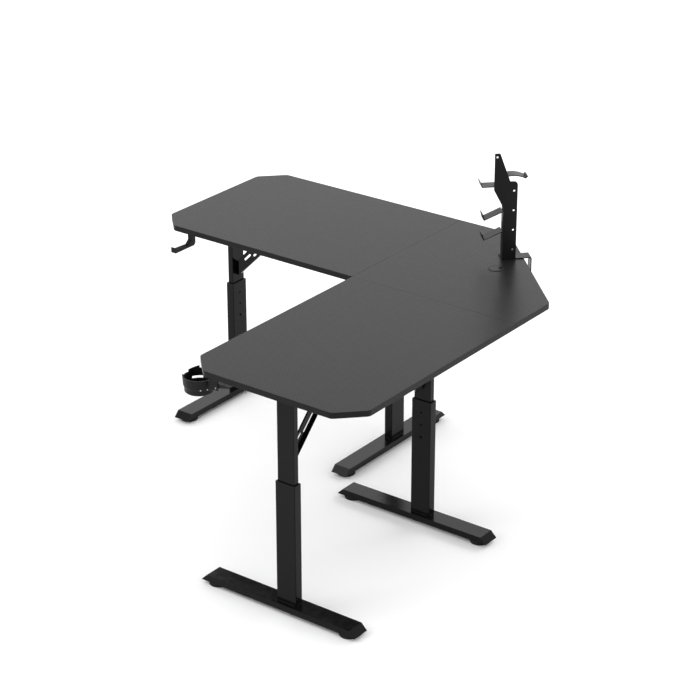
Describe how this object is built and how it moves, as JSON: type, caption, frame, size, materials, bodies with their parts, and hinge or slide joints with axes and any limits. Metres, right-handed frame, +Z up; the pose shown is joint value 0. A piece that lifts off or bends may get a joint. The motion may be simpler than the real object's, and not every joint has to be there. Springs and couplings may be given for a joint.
{
  "type": "corner desk",
  "caption": "L-shaped corner desk with a jointed laminate top, telescopic T-legs with levelling glides, gussets, headset hook, cup holder and a clamped accessory post.",
  "frame": {"origin": "on the floor, under the centre of the square that the top fits in", "axes": "+Z up; +X and +Y point along the two wings' outer edges towards the back corner, so the user sits on the -X, -Y side"},
  "size_m": [1.4, 1.4, 1.08],
  "materials": {
    "laminate": "charcoal fine-woven-look laminate over particle board, satin",
    "edge_band": "black edge banding, satin",
    "frame_steel": "black powder coat, semi-gloss",
    "accessory_steel": "black powder coat, satin",
    "black_plastic": "moulded black plastic, fine grain",
    "glide_pad": "moulded black plastic, matte",
    "screws": "black-oxide steel"
  },
  "bodies": {
    "worktop": {"left_panel": "laminate", "corner_panel": "laminate", "right_panel": "laminate", "edge_banding": "edge_band", "left_rail": "frame_steel", "right_rail": "frame_steel", "front_corner_brace": "frame_steel", "rear_corner_brace": "frame_steel", "head_bar_1": "frame_steel", "head_bar_2": "frame_steel", "head_bar_3": "frame_steel", "head_bar_4": "frame_steel", "inner_tube_1": "frame_steel", "inner_tube_2": "frame_steel", "inner_tube_3": "frame_steel", "inner_tube_4": "frame_steel", "gusset_1": "frame_steel", "gusset_2": "frame_steel", "gusset_3": "frame_steel", "gusset_4": "frame_steel", "head_bar_caps": "black_plastic", "tube_plugs": "black_plastic", "grommet_ring": "black_plastic", "cup_holder": "black_plastic", "seam_plates": "screws", "wood_screws": "screws", "gusset_bolts": "screws", "accessory_screws": "screws", "headset_hook": "accessory_steel", "cup_bracket": "accessory_steel", "stand_clamp": "accessory_steel", "stand_post": "accessory_steel", "headset_saddle": "accessory_steel", "controller_cradles": "accessory_steel"},
    "leg_1": {"sleeve_1": "frame_steel", "sleeve_bush_1": "black_plastic", "lock_screw_1": "screws", "foot_bar_1": "frame_steel"},
    "leg_2": {"sleeve_2": "frame_steel", "sleeve_bush_2": "black_plastic", "lock_screw_2": "screws", "foot_bar_2": "frame_steel"},
    "leg_3": {"sleeve_3": "frame_steel", "sleeve_bush_3": "black_plastic", "lock_screw_3": "screws", "foot_bar_3": "frame_steel"},
    "leg_4": {"sleeve_4": "frame_steel", "sleeve_bush_4": "black_plastic", "lock_screw_4": "screws", "foot_bar_4": "frame_steel"},
    "front_glide_1": {"front_glide_1": "glide_pad"},
    "rear_glide_1": {"rear_glide_1": "glide_pad"},
    "front_glide_2": {"front_glide_2": "glide_pad"},
    "rear_glide_2": {"rear_glide_2": "glide_pad"},
    "front_glide_3": {"front_glide_3": "glide_pad"},
    "rear_glide_3": {"rear_glide_3": "glide_pad"},
    "front_glide_4": {"front_glide_4": "glide_pad"},
    "rear_glide_4": {"rear_glide_4": "glide_pad"},
    "grommet_cap": {"grommet_cap": "black_plastic"},
    "clamp_screw": {"clamp_screw": "black_plastic"}
  },
  "joints": [
    {"name": "leg_1_height", "type": "slide", "parent": "worktop", "child": "leg_1", "axis": [0, 0, -1], "range_m": [0, 0.168]},
    {"name": "leg_2_height", "type": "slide", "parent": "worktop", "child": "leg_2", "axis": [0, 0, -1], "range_m": [0, 0.168]},
    {"name": "leg_3_height", "type": "slide", "parent": "worktop", "child": "leg_3", "axis": [0, 0, -1], "range_m": [0, 0.168]},
    {"name": "leg_4_height", "type": "slide", "parent": "worktop", "child": "leg_4", "axis": [0, 0, -1], "range_m": [0, 0.168]},
    {"name": "front_glide_1_level", "type": "slide", "parent": "leg_1", "child": "front_glide_1", "axis": [0, 0, -1], "range_m": [0, 0.01]},
    {"name": "rear_glide_1_level", "type": "slide", "parent": "leg_1", "child": "rear_glide_1", "axis": [0, 0, -1], "range_m": [0, 0.01]},
    {"name": "front_glide_2_level", "type": "slide", "parent": "leg_2", "child": "front_glide_2", "axis": [0, 0, -1], "range_m": [0, 0.01]},
    {"name": "rear_glide_2_level", "type": "slide", "parent": "leg_2", "child": "rear_glide_2", "axis": [0, 0, -1], "range_m": [0, 0.01]},
    {"name": "front_glide_3_level", "type": "slide", "parent": "leg_3", "child": "front_glide_3", "axis": [0, 0, -1], "range_m": [0, 0.01]},
    {"name": "rear_glide_3_level", "type": "slide", "parent": "leg_3", "child": "rear_glide_3", "axis": [0, 0, -1], "range_m": [0, 0.01]},
    {"name": "front_glide_4_level", "type": "slide", "parent": "leg_4", "child": "front_glide_4", "axis": [0, 0, -1], "range_m": [0, 0.01]},
    {"name": "rear_glide_4_level", "type": "slide", "parent": "leg_4", "child": "rear_glide_4", "axis": [0, 0, -1], "range_m": [0, 0.01]},
    {"name": "grommet_cap_lift", "type": "slide", "parent": "worktop", "child": "grommet_cap", "axis": [0, 0, 1], "range_m": [0, 0.03]},
    {"name": "clamp_screw_travel", "type": "slide", "parent": "worktop", "child": "clamp_screw", "axis": [0, 0, -1], "range_m": [0, 0.01]}
  ],
  "couplings": [
    {"joint": "leg_2_height", "follows": "leg_1_height", "ratio": 1},
    {"joint": "leg_3_height", "follows": "leg_1_height", "ratio": 1},
    {"joint": "leg_4_height", "follows": "leg_1_height", "ratio": 1}
  ]
}
